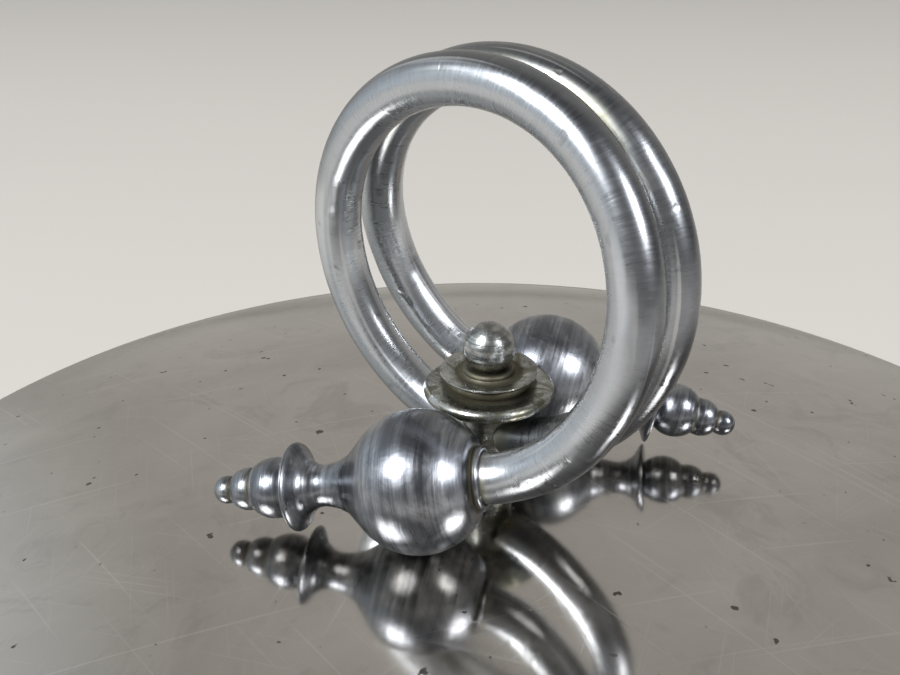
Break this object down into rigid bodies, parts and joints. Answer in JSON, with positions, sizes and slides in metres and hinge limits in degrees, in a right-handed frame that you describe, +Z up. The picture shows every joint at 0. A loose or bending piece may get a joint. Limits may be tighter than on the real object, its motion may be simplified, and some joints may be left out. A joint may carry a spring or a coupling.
{
  "type": "covered sugar bowl",
  "caption": "Round covered sugar bowl on a foot ring; its domed lid lifts off by a handle of two rod rings that end in turned ball finials, with a turned knob between them.",
  "frame": {"origin": "centre of the circle that the foot ring rests on, at the bottom of the object", "axes": "+Z up along the bowl's axis; the handle's rings stand across +X, so the front ring is on the -Y side and its finial points to -X, and the back ring is on the +Y side and its finial points to +X"},
  "size_m": [0.1302, 0.1302, 0.1139],
  "materials": {
    "spun_bowl": "spun and satin polished, fine circular lines",
    "polished_lid": "worn polish with fine scratches and dark specks",
    "ring_rod": "bright satin, drawn rod with fine cross marks",
    "turned_finial": "turned, grey tarnish, bright on the high places",
    "tarnished_knob": "turned, with olive brown tarnish in the grooves",
    "plated_screw": "plated steel"
  },
  "bodies": {
    "bowl": {"bowl_shell": "spun_bowl", "foot_ring": "spun_bowl"},
    "lid": {"lid_dome": "polished_lid", "lid_bezel": "spun_bowl", "centre_finial": "tarnished_knob", "front_ring_rod": "ring_rod", "back_ring_rod": "ring_rod", "front_ball_finial": "turned_finial", "back_ball_finial": "turned_finial", "handle_screw": "plated_screw", "screw_washer": "plated_screw"}
  },
  "joints": [
    {"name": "lid_lift", "type": "slide", "parent": "bowl", "child": "lid", "axis": [0, 0, 1], "range_m": [0, 0.06]}
  ]
}
